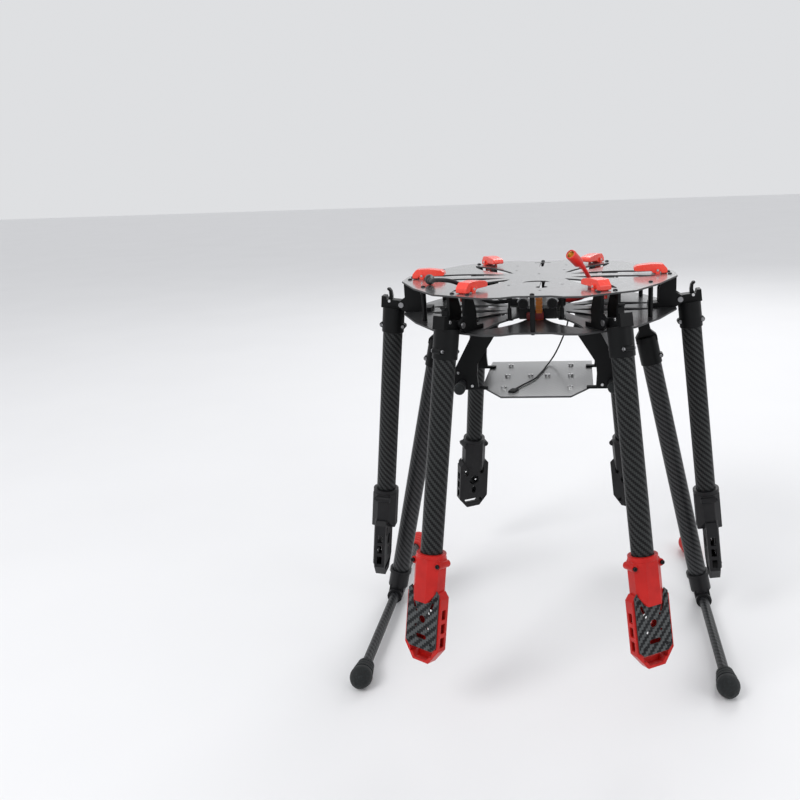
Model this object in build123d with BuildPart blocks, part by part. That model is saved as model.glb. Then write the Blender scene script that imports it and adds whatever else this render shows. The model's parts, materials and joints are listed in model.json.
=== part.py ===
from build123d import *
import os
from math import cos, pi, radians, sin, tan

os.makedirs("parts", exist_ok=True)

# Folding hexacopter frame, arms hanging, standing on its two skids. Millimetres, +Z up, front towards -Y.
# The origin is on the ground, under the middle of the plates.

# Arms, by the angle of their direction from +X.
ARM_ANGLES = {
    "right": 0,
    "back_right": 60,
    "back_left": 120,
    "left": 180,
    "front_left": 240,
    "front_right": 300,
}
SIDE_SPLAY = 6.5            # lean of the two side arms from the vertical, folded
SPLAY = 11.0                # lean of the other four

# Plates
PLATE = 2.0
BOTTOM_Z = 439.0            # underside of the bottom plate
DECK_Z = BOTTOM_Z + PLATE
BAY = 38.0                  # free height between the plates
ROOF_Z = DECK_Z + BAY       # underside of the top plate
TOP_Z = ROOF_Z + PLATE
# One quarter of the plates' outline, from the right arm to the back; the rest is mirrored.
RIM = [(168.0, 22.0), (142.0, 83.0), (111.5, 133.0), (52.6, 167.0), (34.0, 166.0), (20.0, 158.0)]
RIM_FILLET = 6.0
# Leaf-shaped slot beside an arm, as (radius, offset) of its ends, and how far its two sides bulge.
LEAF_IN, LEAF_OUT, LEAF_BULGES = (40.0, 15.0), (147.0, 21.0), (-7.0, 14.0)
LEAF_WIDEST = 101.5
SCREW_HOLE = 1.6
STANDOFF_R = 152.0
BRACKET_END = 168.0
BRACKET_SCREW_R, FOOT_SCREW_R = 160.0, 140.0

# Arm hinge and bracket
HINGE_R = 173.0
HINGE_Z = DECK_Z + 9.0
PIN_R = 2.0
RUN = 0.05                  # radial clearance of a pin in its running hole
SEAT = 0.05                 # radial clearance of a tube in its seat
FIXED = 0.02                # radial clearance of a pin that is held
TONGUE_W = 16.0
WALL_GAP, WALL = 17.0, 4.0
BRACKET_W = WALL_GAP + 2 * WALL
LUG_R = 5.0

# Arm: x runs along the arm from the hinge, h is the height above the hinge when the arm is out
TUBE_R, TUBE_WALL = 12.5, 1.0
AXIS_H = 11.5
ROOT_X, HOLDER_END = 5.2, 38.0
HOLDER_R = 14.0
ARM_TUBE = (9.0, 292.0)
COLLAR_X, CLAMP_X, CLAMP_FLAT, CLAMP_TIP = 254.0, 259.0, 296.0, 308.0
CLAMP_W, CLAMP_H, CLAMP_CUT, CLAMP_NOSE = 34.0, 32.0, 9.0, 9.0
ARM_END = 380.0
MOTOR_X = 330.0
TRAY_W, TRAY_FLOOR, TRAY_TOP = 48.0, 5.0, 19.0
PLATE_W, MOTOR_PLATE = 43.0, (292.0, 364.0)
MOTOR_PCD, MOTOR_HOLE = 25.0, 1.6

# Latch lever, in the arm's vertical plane
LATCH_W = 15.0
LATCH_PIVOT = (145.5, TOP_Z + 4.4)
LATCH_PIN = 1.5
TOOTH = (150.5, 155.5)
TOOTH_Z = HINGE_Z + 22.0

# Landing leg
LEG_Y = 52.0
LEG_PIVOT_X, LEG_PIVOT_Z = 131.4, 418.0
LEG_SPLAY = 12.6
SKID_Z = 14.0
LEG_LEN = (LEG_PIVOT_Z - SKID_Z) / cos(radians(LEG_SPLAY))
LEG_HOLDER_END = 64.5
LEG_TUBE = (36.0, LEG_LEN - 15.0)
SKID_X = LEG_PIVOT_X + LEG_LEN * sin(radians(LEG_SPLAY))
SKID_R = 6.5
SKID_ENDS = (-158.0, 215.0)
CAP_R, CAP_LEN, CAP_DEPTH = 13.97, 42.0, 20.0
LEG_PIN = 3.0

# Hanging tray
TRAY_Z = 359.0              # underside of the battery plate
RAIL_X, RAIL_Z, RAIL_R = 88.0, 368.5, 5.0
RAIL_ENDS = (-120.0, 48.0)
HANGER_Y = (-92.0, 12.0)
BATTERY_X, BATTERY_Y = 66.0, (-126.0, 46.0)
BATTERY_COLS, BATTERY_ROWS = 39.0, (-91.0, -34.0, 19.0)
BATTERY_HOLE = 2.0

# Cords
LEAD_D, SIGNAL_D = 4.8, 2.0
PLUG_R, PLUG_BORE = 6.0, 4.2


def save(builder, node):
    builder.part.label = node
    export_step(builder.part, f"parts/{node}.step")


def swing_frame(angle, splay, origin):
    """Plane at a hinge: x down the hanging arm or leg, z outwards from it, which is up once it is out."""
    out = Vector(cos(radians(angle)), sin(radians(angle)), 0)
    up = Vector(0, 0, 1)
    lean = radians(splay)
    return Plane(origin, x_dir=out * sin(lean) - up * cos(lean), z_dir=out * cos(lean) + up * sin(lean))


def side_of(frame):
    """Side view of an arm or leg: x along it, y its height."""
    return Plane(frame.origin, x_dir=frame.x_dir, z_dir=-frame.y_dir)


def across(frame, x, height):
    """Cross-section at x, centred at that height."""
    return Plane(frame.origin + frame.x_dir * x + frame.z_dir * height, x_dir=frame.y_dir, z_dir=frame.x_dir)


def deck_of(frame, height):
    """Plan view of an arm at a height, x along the arm from the hinge."""
    return Plane(frame.origin + frame.z_dir * height, x_dir=frame.x_dir, z_dir=frame.z_dir)


def radial(angle):
    """Upright plane through the origin: x outwards, y up."""
    out = Vector(cos(radians(angle)), sin(radians(angle)), 0)
    return Plane((0, 0, 0), x_dir=out, z_dir=out.cross(Vector(0, 0, 1)))


def polar(r, angle):
    return (r * cos(radians(angle)), r * sin(radians(angle)))


# ---- plates -------------------------------------------------------------------------------------------

def plate_blank():
    """Outline of both plates."""
    half = RIM + [(-x, y) for x, y in reversed(RIM)]
    outline = Polygon(*half, *[(x, -y) for x, y in reversed(half)], align=None)
    fillet(outline.vertices(), RIM_FILLET)


def leaf_slots(sectors):
    """Leaf-shaped slots in the sectors between two arms, named by the direction of their middle."""
    (r0, t0), (r1, t1) = LEAF_IN, LEAF_OUT
    with BuildSketch(mode=Mode.PRIVATE) as leaf:
        with BuildLine():
            for bulge in LEAF_BULGES:
                ThreePointArc((r0, t0), (LEAF_WIDEST, (t0 + t1) / 2 + bulge), (r1, t1))
        make_face()
    for sector in sectors:
        add(leaf.sketch, rotation=sector - 30, mode=Mode.SUBTRACT)
        add(leaf.sketch.mirror(Plane.XZ), rotation=sector + 30, mode=Mode.SUBTRACT)


def bracket_screws():
    """Bracket screws, as (radius, offset) from each arm's direction."""
    half = (WALL_GAP + WALL) / 2
    return [(BRACKET_SCREW_R, -half), (BRACKET_SCREW_R, half)]


CRESCENT_Y, CRESCENT_W = -56.0, 32.0
KEYHOLE_X, KEYHOLE_Y, KEYHOLE_R, KEYHOLE_W = 8.0, -95.0, 6.5, 5.0
T_Y, T_W, T_STEM = 138.0, 22.0, 44.0
TOP_HOLES = [(-31, -77), (31, -77), (-31, 55), (31, 55), (-33, 105), (33, 105), (0, 20), (7, -120)]

with BuildPart() as top_plate:
    with BuildSketch(Plane.XY.offset(ROOF_Z)):
        plate_blank()
        leaf_slots((30, 150, 210, 330))
        with PolarLocations(0, 6):
            with Locations(*bracket_screws()):
                Circle(SCREW_HOLE, mode=Mode.SUBTRACT)
            with Locations((sum(TOOTH) / 2, 0)):
                Rectangle(TOOTH[1] - TOOTH[0] + 4, 9, mode=Mode.SUBTRACT)
        with PolarLocations(STANDOFF_R, 6, start_angle=30):
            Circle(SCREW_HOLE, mode=Mode.SUBTRACT)
        with Locations(*TOP_HOLES):
            Circle(SCREW_HOLE, mode=Mode.SUBTRACT)
        with BuildLine():
            ends = [(-CRESCENT_W / 2, CRESCENT_Y), (CRESCENT_W / 2, CRESCENT_Y)]
            for rise in (4.0, 13.0):
                ThreePointArc(ends[0], (0, CRESCENT_Y + rise), ends[1])
        make_face(mode=Mode.SUBTRACT)
        with Locations((KEYHOLE_X, KEYHOLE_Y)):
            Circle(KEYHOLE_R, mode=Mode.SUBTRACT)
            Rectangle(KEYHOLE_W, 50, align=(Align.CENTER, Align.MIN), mode=Mode.SUBTRACT)
        with Locations((0, T_Y)):
            Rectangle(T_W, 3, mode=Mode.SUBTRACT)
            Rectangle(KEYHOLE_W, T_STEM, align=(Align.CENTER, Align.MAX), mode=Mode.SUBTRACT)
    extrude(amount=PLATE)
save(top_plate, "top_plate")

BOARD = 58.0
CABLE_HOLE, CABLE_HOLE_R = (38.0, 60.0), 3.0

with BuildPart() as bottom_plate:
    with BuildSketch(Plane.XY.offset(BOTTOM_Z)):
        plate_blank()
        leaf_slots(range(30, 360, 60))
        with PolarLocations(0, 6):
            with Locations(*bracket_screws(), (FOOT_SCREW_R, 0)):
                Circle(SCREW_HOLE, mode=Mode.SUBTRACT)
        with PolarLocations(STANDOFF_R, 6, start_angle=30):
            Circle(SCREW_HOLE, mode=Mode.SUBTRACT)
        with Locations(CABLE_HOLE):
            Circle(CABLE_HOLE_R, mode=Mode.SUBTRACT)
    extrude(amount=PLATE)
save(bottom_plate, "bottom_plate")

# ---- brackets, pins, standoffs and screws ---------------------------------------------------------------

FOOT_IN, FOOT_TOP = 135.0, DECK_Z + 5
WALL_PROFILE = [
    (FOOT_IN, DECK_Z), (BRACKET_END, DECK_Z), (HINGE_R + 2.5, HINGE_Z - 4.2), (HINGE_R + 2.5, HINGE_Z + 4.2),
    (BRACKET_END, HINGE_Z + 9), (BRACKET_END, ROOF_Z), (153.0, ROOF_Z), (147.0, DECK_Z + 21), (147.0, FOOT_TOP),
    (FOOT_IN, FOOT_TOP),
]
LATCH_LUG_W, LATCH_LUG_R, LATCH_LUG_GAP = 1.6, 2.6, LATCH_W / 2 + 0.4

with BuildPart() as arm_brackets:
    for angle in ARM_ANGLES.values():
        view = radial(angle)
        for side in (-1, 1):
            wall = Plane(view.origin + view.z_dir * side * (WALL_GAP + WALL) / 2, view.x_dir, view.z_dir)
            with BuildSketch(wall):
                Polygon(*WALL_PROFILE, align=None)
                with Locations((HINGE_R, HINGE_Z)):
                    Circle(LUG_R)
                    Circle(PIN_R + RUN, mode=Mode.SUBTRACT)
            extrude(amount=WALL / 2, both=True)
            lug_middle = side * (LATCH_LUG_GAP + LATCH_LUG_W / 2)
            lug = Plane(view.origin + view.z_dir * lug_middle, view.x_dir, view.z_dir)
            with BuildSketch(lug):
                with Locations(LATCH_PIVOT):
                    height = LATCH_PIVOT[1] - TOP_Z
                    Rectangle(2 * LATCH_LUG_R, height, align=(Align.CENTER, Align.MAX))
                    Circle(LATCH_LUG_R)
                    Circle(LATCH_PIN + FIXED, mode=Mode.SUBTRACT)
            extrude(amount=LATCH_LUG_W / 2, both=True)
        with BuildSketch(view):
            with Locations(((FOOT_IN + 152) / 2, (DECK_Z + FOOT_TOP) / 2)):
                Rectangle(152 - FOOT_IN, FOOT_TOP - DECK_Z)
        extrude(amount=WALL_GAP / 2, both=True)
save(arm_brackets, "arm_brackets")

with BuildPart() as hinge_pins:
    for angle in ARM_ANGLES.values():
        view = radial(angle)
        with BuildSketch(view):
            with Locations((HINGE_R, HINGE_Z)):
                Circle(PIN_R)
        extrude(amount=BRACKET_W / 2, both=True)
        for side in (-1, 1):
            head = Plane(view.origin + view.z_dir * side * (BRACKET_W / 2 + 0.8), view.x_dir, view.z_dir)
            with BuildSketch(head):
                with Locations((HINGE_R, HINGE_Z)):
                    Circle(3.4)
            extrude(amount=0.8, both=True)
        with BuildSketch(view):
            with Locations(LATCH_PIVOT):
                Circle(LATCH_PIN)
        extrude(amount=LATCH_LUG_GAP + LATCH_LUG_W + 0.6, both=True)
save(hinge_pins, "hinge_pins")

with BuildPart() as standoffs:
    with BuildSketch(Plane.XY.offset(DECK_Z)):
        with PolarLocations(STANDOFF_R, 6, start_angle=30):
            RegularPolygon(3.1, 6)
    extrude(amount=BAY)
save(standoffs, "standoffs")

HEAD_R, HEAD_H = 2.7, 1.7

with BuildPart() as plate_screws:
    levels = [(TOP_Z, PLATE, 1), (BOTTOM_Z, PLATE, -1)]
    for z, depth, way in levels:
        spots = bracket_screws() if way > 0 else bracket_screws() + [(FOOT_SCREW_R, 0)]
        for radius, length in ((HEAD_R, way * HEAD_H), (SCREW_HOLE - 0.05, -way * depth)):
            with BuildSketch(Plane.XY.offset(z)):
                with PolarLocations(0, 6):
                    with Locations(*spots):
                        Circle(radius)
                with PolarLocations(STANDOFF_R, 6, start_angle=30):
                    Circle(radius)
            extrude(amount=length)
save(plate_screws, "plate_screws")

# ---- latch levers ---------------------------------------------------------------------------------------

# Side view, as (radius, height above the top plate).
LEVER_PROFILE = [
    (157.5, 0.8), (157.5, 6.0), (152.0, 12.0), (138.0, 12.6), (121.0, 10.6), (117.0, 8.2), (117.0, 4.6),
    (118.6, 3.4), (137.8, 3.4), (140.0, 0.8), (148.0, 0.8), (149.2, 3.0), (150.5, 0.8),
]

for name, angle in ARM_ANGLES.items():
    view = radial(angle)
    with BuildPart() as latch:
        with BuildSketch(view):
            Polygon(*[(r, TOP_Z + height) for r, height in LEVER_PROFILE], align=None)
        extrude(amount=LATCH_W / 2, both=True)
        outline = latch.edges().filter_by(Axis((0, 0, 0), view.z_dir))
        chamfer(outline.group_by(Axis.Z)[-1], 1.2)
        with BuildSketch(view):
            with Locations((sum(TOOTH) / 2, (TOOTH_Z + TOP_Z + 3) / 2)):
                Rectangle(TOOTH[1] - TOOTH[0], TOP_Z + 3 - TOOTH_Z)
        extrude(amount=3.5, both=True)
        with BuildSketch(view):
            with Locations(LATCH_PIVOT):
                Circle(LATCH_PIN + RUN)
        extrude(amount=LATCH_W, both=True, mode=Mode.SUBTRACT)
    save(latch, f"latch_{name}")

# ---- arms -----------------------------------------------------------------------------------------------

TONGUE = [(-4.5, -3.0), (ROOT_X + 1, -3.0), (ROOT_X + 1, 26.5), (-8.5, 26.5), (-8.5, 21.5), (-4.5, 20.0)]
HOOK = [
    (-3.0, 13.0), (-9.0, 13.3), (-15.0, 14.8), (-18.4, 17.6), (-18.4, 20.6), (-16.4, 20.6), (-14.6, 18.2),
    (-9.0, 17.4), (-3.0, 19.0),
]
EAR_R, EAR_X = 3.3, HOLDER_END - 9
BOSS_R, BOSS_X = 4.2, CLAMP_X + 6
LOOP = (ARM_END - 15.0, ARM_END - 8.5)
TRAY_X = 296.0


def holder_part(frame):
    with BuildPart() as holder:
        with BuildSketch(across(frame, ROOT_X, AXIS_H)):
            Circle(HOLDER_R)
        extrude(amount=HOLDER_END - ROOT_X)
        chamfer(holder.faces().sort_by(Axis(frame.origin, frame.x_dir))[-1].edges(), 0.8)
        with BuildSketch(side_of(frame)):
            with Locations((EAR_X, AXIS_H - HOLDER_R + 0.5), (EAR_X, AXIS_H + HOLDER_R - 0.5)):
                Circle(EAR_R)
        extrude(amount=5.5, both=True)
        with BuildSketch(side_of(frame)):
            Polygon(*TONGUE, align=None)
            Circle(LUG_R)
        extrude(amount=TONGUE_W / 2, both=True)
        with BuildSketch(side_of(frame)):
            Polygon(*HOOK, align=None)
        extrude(amount=4.0, both=True)
        with BuildSketch(across(frame, ARM_TUBE[0], AXIS_H)):
            Circle(TUBE_R + SEAT)
        extrude(amount=HOLDER_END, mode=Mode.SUBTRACT)
        with BuildSketch(side_of(frame)):
            Circle(PIN_R + RUN)
        extrude(amount=TONGUE_W, both=True, mode=Mode.SUBTRACT)
    return holder


def tube_part(frame, ends, height):
    with BuildPart() as tube:
        with BuildSketch(across(frame, ends[0], height)):
            Circle(TUBE_R)
            Circle(TUBE_R - TUBE_WALL, mode=Mode.SUBTRACT)
        extrude(amount=ends[1] - ends[0])
    return tube


def clamp_outline(grow=0.0):
    """Clamp seen from above: straight sides and a narrower outer end."""
    half, nose, tip = CLAMP_W / 2 + grow, CLAMP_NOSE + grow / 2, CLAMP_TIP + grow
    return [
        (CLAMP_X, -half), (CLAMP_FLAT, -half), (tip, -nose), (tip, nose), (CLAMP_FLAT, half), (CLAMP_X, half),
    ]


def tray_outline(shrink=0.0):
    half = TRAY_W / 2 - shrink
    end = ARM_END - shrink
    return [
        (TRAY_X, -half + 5), (TRAY_X + 6, -half), (end - 17, -half), (end, -half + 13), (end, half - 13),
        (end - 17, half), (TRAY_X + 6, half), (TRAY_X, half - 5),
    ]


def mount_part(frame):
    side = side_of(frame)
    with BuildPart() as mount:
        with BuildSketch(across(frame, CLAMP_X, AXIS_H)) as section:
            Rectangle(CLAMP_W, CLAMP_H)
            chamfer(section.vertices(), CLAMP_CUT)
        extrude(amount=CLAMP_TIP - CLAMP_X)
        with BuildSketch(deck_of(frame, AXIS_H)):
            Polygon(*clamp_outline(), align=None)
        extrude(amount=CLAMP_H, both=True, mode=Mode.INTERSECT)
        with BuildSketch(across(frame, COLLAR_X, AXIS_H)):
            Circle(TUBE_R + 4.3)
        extrude(amount=CLAMP_X - COLLAR_X)
        with BuildSketch(deck_of(frame, 2.0)):
            with Locations((BOSS_X, CLAMP_W / 2 - 0.5), (BOSS_X, 0.5 - CLAMP_W / 2)):
                Circle(BOSS_R)
        extrude(amount=19.0)
        with BuildSketch(deck_of(frame, TRAY_FLOOR)):
            Polygon(*tray_outline(), align=None)
        extrude(amount=TRAY_TOP - TRAY_FLOOR)
        with BuildSketch(deck_of(frame, TRAY_FLOOR + 3)):
            Polygon(*tray_outline(3.0), align=None)
            Polygon(*clamp_outline(), align=None, mode=Mode.SUBTRACT)
        extrude(amount=TRAY_TOP, mode=Mode.SUBTRACT)
        with BuildSketch(deck_of(frame, TRAY_FLOOR)):
            with Locations((LOOP[0] - 3, 0)):
                Rectangle(6, TRAY_W - 8)
        extrude(amount=TRAY_TOP - TRAY_FLOOR)
        with BuildSketch(deck_of(frame, 0)):
            with Locations((sum(LOOP) / 2, 0)):
                Rectangle(LOOP[1] - LOOP[0], 31)
            with Locations((MOTOR_X, 0)):
                Circle(8.0)
            with Locations((314, 13), (314, -13), (348, 0)):
                SlotOverall(13, 6, rotation=0)
        extrude(amount=30, mode=Mode.SUBTRACT)
        with BuildSketch(side):
            with Locations((321, TRAY_FLOOR + 7.2), (337, TRAY_FLOOR + 7.2), (353, TRAY_FLOOR + 7.2)):
                Rectangle(11, 6.4)
        extrude(amount=TRAY_W, both=True, mode=Mode.SUBTRACT)
        with BuildSketch(across(frame, COLLAR_X, AXIS_H)):
            Circle(TUBE_R + SEAT)
        extrude(amount=ARM_TUBE[1] - COLLAR_X + 1, mode=Mode.SUBTRACT)
        with BuildSketch(deck_of(frame, 12.0)):
            with Locations((BOSS_X, CLAMP_W / 2 + 0.6), (BOSS_X, -0.6 - CLAMP_W / 2)):
                Circle(1.7)
        extrude(amount=12.0, mode=Mode.SUBTRACT)
    return mount


def motor_plate_part(frame):
    middle = sum(MOTOR_PLATE) / 2
    with BuildPart() as plate:
        with BuildSketch(deck_of(frame, TRAY_TOP)) as outline:
            with Locations((middle, 0)):
                Rectangle(MOTOR_PLATE[1] - MOTOR_PLATE[0], PLATE_W)
            chamfer(outline.vertices(), 5.5)
            Polygon(*clamp_outline(0.3), align=None, mode=Mode.SUBTRACT)
            with Locations((MOTOR_X, 0)):
                Circle(4.5, mode=Mode.SUBTRACT)
                with PolarLocations(MOTOR_PCD / 2, 4, start_angle=45):
                    Circle(MOTOR_HOLE, mode=Mode.SUBTRACT)
            for lean in (-1, 1):
                with Locations((313.0, lean * 12.5)):
                    SlotOverall(12, 3.6, rotation=-lean * 20, mode=Mode.SUBTRACT)
            with Locations((350.0, 0)):
                SlotOverall(15, 5.5, rotation=90, mode=Mode.SUBTRACT)
        extrude(amount=PLATE)
    return plate


for name, angle in ARM_ANGLES.items():
    splay = SIDE_SPLAY if angle % 180 == 0 else SPLAY
    frame = swing_frame(angle, splay, Vector(*polar(HINGE_R, angle), HINGE_Z))
    save(holder_part(frame), f"arm_holder_{name}")
    save(tube_part(frame, ARM_TUBE, AXIS_H), f"arm_tube_{name}")
    save(mount_part(frame), f"motor_mount_{name}")
    save(motor_plate_part(frame), f"motor_plate_{name}")

# ---- landing legs and skids -------------------------------------------------------------------------------

NECK = [(-1.0, -7.5), (19.0, -7.5), (27.0, -HOLDER_R), (34.0, -HOLDER_R), (34.0, HOLDER_R), (27.0, HOLDER_R),
        (19.0, 7.5), (-1.0, 7.5)]
NECK_W = 14.0
TEE_W = 38.0


def cap_profile():
    """Half section of a ribbed rubber skid cap, as (distance from its open end, radius)."""
    ribs = [(0, 9.0)]
    for k in range(3):
        start = 1.5 + 6.0 * k
        radius = 10.6 + 0.9 * k
        groove = radius - 0.9
        ribs += [(start, radius), (start + 4.2, radius + 0.5), (start + 4.9, groove), (start + 5.4, groove)]
    return ribs


def cap_part(x, open_y, way):
    """Skid cap on the pipe end at open_y, its nose pointing along way on the Y axis."""
    axis = Plane((x, open_y, SKID_Z), x_dir=(0, way, 0), z_dir=(-way, 0, 0))
    with BuildPart() as cap:
        with BuildSketch(axis):
            with BuildLine():
                ribs = Polyline(*cap_profile(), (20.0, 12.9))
                crown = Spline(ribs @ 1, (27.0, CAP_R), (35.0, 11.6), (CAP_LEN, 4.0),
                               tangents=[(1, 0.3), (0.5, -1)])
                Polyline(crown @ 1, (CAP_LEN, 0), (CAP_DEPTH, 0), (CAP_DEPTH, SKID_R + SEAT), (0, SKID_R + SEAT),
                         ribs @ 0)
            make_face()
        revolve(axis=Axis((x, open_y, SKID_Z), (0, way, 0)))
    return cap


for name, side in (("left", -1), ("right", 1)):
    frame = swing_frame(0 if side > 0 else 180, LEG_SPLAY, Vector(side * LEG_PIVOT_X, LEG_Y, LEG_PIVOT_Z))
    with BuildPart() as leg_holder:
        with BuildSketch(side_of(frame)):
            Polygon(*NECK, align=None)
            Circle(8.0)
        extrude(amount=NECK_W / 2, both=True)
        with BuildSketch(across(frame, 27.0, 0)):
            Circle(HOLDER_R)
        extrude(amount=LEG_HOLDER_END - 27.0)
        with BuildSketch(side_of(frame)):
            with Locations((LEG_HOLDER_END - 9, HOLDER_R - 0.5)):
                Circle(EAR_R)
        extrude(amount=5.5, both=True)
        with BuildSketch(across(frame, LEG_TUBE[0], 0)):
            Circle(TUBE_R + SEAT)
        extrude(amount=LEG_HOLDER_END, mode=Mode.SUBTRACT)
        with BuildSketch(side_of(frame)):
            Circle(LEG_PIN + RUN)
        extrude(amount=NECK_W, both=True, mode=Mode.SUBTRACT)
    save(leg_holder, f"leg_holder_{name}")
    save(tube_part(frame, LEG_TUBE, 0), f"leg_tube_{name}")
    with BuildPart() as tee:
        with BuildSketch(across(frame, LEG_LEN - 38, 0)):
            Circle(TUBE_R + 3.2)
        extrude(amount=6)
        with BuildSketch(across(frame, LEG_LEN - 33, 0)):
            Circle(TUBE_R + 1.6)
        extrude(amount=23)
        with BuildSketch(across(frame, LEG_LEN - 13, 0)):
            Rectangle(24, 21)
        extrude(amount=13)
        with BuildSketch(side_of(frame)):
            with Locations((LEG_LEN, 0)):
                Circle(10.8)
        extrude(amount=TEE_W / 2, both=True)
        with BuildSketch(across(frame, LEG_LEN - 39, 0)):
            Circle(TUBE_R + SEAT)
        extrude(amount=39 - (LEG_LEN - LEG_TUBE[1]) + 0.5, mode=Mode.SUBTRACT)
        with BuildSketch(side_of(frame)):
            with Locations((LEG_LEN, 0)):
                Circle(SKID_R + SEAT)
        extrude(amount=TEE_W, both=True, mode=Mode.SUBTRACT)
    save(tee, f"leg_tee_{name}")
    with BuildPart() as pipe:
        with BuildSketch(Plane((side * SKID_X, SKID_ENDS[0], SKID_Z), x_dir=(1, 0, 0), z_dir=(0, 1, 0))):
            Circle(SKID_R)
            Circle(SKID_R - 1.0, mode=Mode.SUBTRACT)
        extrude(amount=SKID_ENDS[1] - SKID_ENDS[0])
    save(pipe, f"skid_pipe_{name}")
    save(cap_part(side * SKID_X, SKID_ENDS[0] + CAP_DEPTH, -1), f"skid_cap_front_{name}")
    save(cap_part(side * SKID_X, SKID_ENDS[1] - CAP_DEPTH, 1), f"skid_cap_rear_{name}")

# Retract units under the bottom plate: a base, two cheeks, a gear case and the leg's pivot pin.
CHEEK_GAP, CHEEK = NECK_W + 1.0, 5.0

with BuildPart() as retract_units:
    for side in (-1, 1):
        base_x = side * (LEG_PIVOT_X - 3)
        with BuildSketch(Plane.XY.offset(BOTTOM_Z)):
            with Locations((base_x, LEG_Y)):
                Rectangle(50, CHEEK_GAP + 2 * CHEEK + 8)
        extrude(amount=-4)
        with BuildSketch(Plane.XY.offset(BOTTOM_Z - 4)):
            with Locations((side * (LEG_PIVOT_X - 19), LEG_Y)):
                Rectangle(18, CHEEK_GAP + 2 * CHEEK)
        extrude(amount=-24)
        for way in (-1, 1):
            with BuildSketch(Plane.XZ.offset(-LEG_Y - way * (CHEEK_GAP + CHEEK) / 2)):
                with Locations((side * (LEG_PIVOT_X - 4.5), (BOTTOM_Z - 4 + LEG_PIVOT_Z - 6) / 2)):
                    Rectangle(27, BOTTOM_Z - 4 - LEG_PIVOT_Z + 6)
                with Locations((side * LEG_PIVOT_X, LEG_PIVOT_Z)):
                    Circle(9.0)
            extrude(amount=CHEEK / 2, both=True)
        with BuildSketch(Plane.XZ.offset(-LEG_Y)):
            with Locations((side * LEG_PIVOT_X, LEG_PIVOT_Z)):
                Circle(LEG_PIN)
        extrude(amount=CHEEK_GAP / 2 + CHEEK, both=True)
        with BuildSketch(Plane.XZ.offset(-LEG_Y + 12)):
            with Locations((side * (LEG_PIVOT_X - 20), LEG_PIVOT_Z + 2)):
                Circle(8.0)
        extrude(amount=26)
save(retract_units, "retract_units")

# ---- hanging tray -----------------------------------------------------------------------------------------

FOOT_Z, FOOT_TAB = TRAY_Z + PLATE, 2.5
WING = [
    (45.0, BOTTOM_Z), (68.0, BOTTOM_Z), (97.0, 385.0), (98.0, FOOT_Z), (58.0, FOOT_Z), (58.0, FOOT_Z + FOOT_TAB),
    (69.0, FOOT_Z + FOOT_TAB), (70.0, 378.0), (69.0, 392.0), (43.0, BOTTOM_Z - 6),
]
RIB, WEB = 8.0, 3.0

with BuildPart() as rail_hangers:
    for side in (-1, 1):
        wing = [(side * x, z) for x, z in WING]
        for y in HANGER_Y:
            with BuildSketch(Plane.XZ.offset(-y)):
                Polygon(*wing, align=None)
            extrude(amount=RIB / 2, both=True)
        span = (HANGER_Y[1] - HANGER_Y[0]) / 2
        middle = sum(HANGER_Y) / 2
        with BuildSketch(Plane.XZ.offset(-middle)):
            Polygon(
                (side * 64.0, BOTTOM_Z), (side * 68.0, BOTTOM_Z), (side * 97.0, 385.0), (side * 97.5, 378.0),
                (side * 94.5, 378.0), (side * 94.0, 385.0), align=None,
            )
            Polygon(
                (side * 45.0, BOTTOM_Z), (side * 68.0, BOTTOM_Z), (side * 68.0, BOTTOM_Z - WEB),
                (side * 45.0, BOTTOM_Z - WEB), align=None,
            )
        extrude(amount=span, both=True)
        with BuildSketch(Plane.XZ.offset(-HANGER_Y[0] + RIB)):
            with Locations((side * RAIL_X, RAIL_Z)):
                Circle(RAIL_R + SEAT)
        extrude(amount=-(HANGER_Y[1] - HANGER_Y[0] + 2 * RIB), mode=Mode.SUBTRACT)
save(rail_hangers, "rail_hangers")

with BuildPart() as rails:
    with BuildSketch(Plane.XZ.offset(-RAIL_ENDS[0])):
        with Locations((-RAIL_X, RAIL_Z), (RAIL_X, RAIL_Z)):
            Circle(RAIL_R)
            Circle(RAIL_R - 1.0, mode=Mode.SUBTRACT)
    extrude(amount=-(RAIL_ENDS[1] - RAIL_ENDS[0]))
save(rails, "rails")

RAIL_CAP_R, RAIL_CAP = 6.6, 10.0

with BuildPart() as rail_caps:
    for x in (-RAIL_X, RAIL_X):
        for y, way in ((RAIL_ENDS[0], -1), (RAIL_ENDS[1], 1)):
            with BuildSketch(Plane((x, y, RAIL_Z), x_dir=(0, way, 0), z_dir=(-way, 0, 0))):
                with BuildLine():
                    skin = Polyline((-RAIL_CAP + 3, RAIL_R + SEAT), (-RAIL_CAP + 3, RAIL_CAP_R), (1.0, RAIL_CAP_R))
                    nose = RadiusArc(skin @ 1, (4.0, 3.6), 3.2)
                    Polyline(nose @ 1, (4.0, 0), (0, 0), (0, RAIL_R + SEAT), skin @ 0)
                make_face()
            revolve(axis=Axis((x, y, RAIL_Z), (0, way, 0)))
save(rail_caps, "rail_caps")

with BuildPart() as battery_plate:
    with BuildSketch(Plane.XY.offset(TRAY_Z)):
        Polygon(
            (-40.0, BATTERY_Y[0]), (40.0, BATTERY_Y[0]), (63.0, -86.0), (BATTERY_X, -80.0), (BATTERY_X, BATTERY_Y[1]),
            (-BATTERY_X, BATTERY_Y[1]), (-BATTERY_X, -80.0), (-63.0, -86.0), align=None,
        )
        for y in BATTERY_ROWS:
            with Locations((-BATTERY_COLS, y), (BATTERY_COLS, y)):
                Circle(BATTERY_HOLE, mode=Mode.SUBTRACT)
        with Locations((-10.5, BATTERY_ROWS[1]), (10.5, BATTERY_ROWS[1])):
            Circle(BATTERY_HOLE, mode=Mode.SUBTRACT)
    extrude(amount=PLATE)
save(battery_plate, "battery_plate")

# ---- distribution board, with its spacers and terminals ------------------------------------------------------

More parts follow.
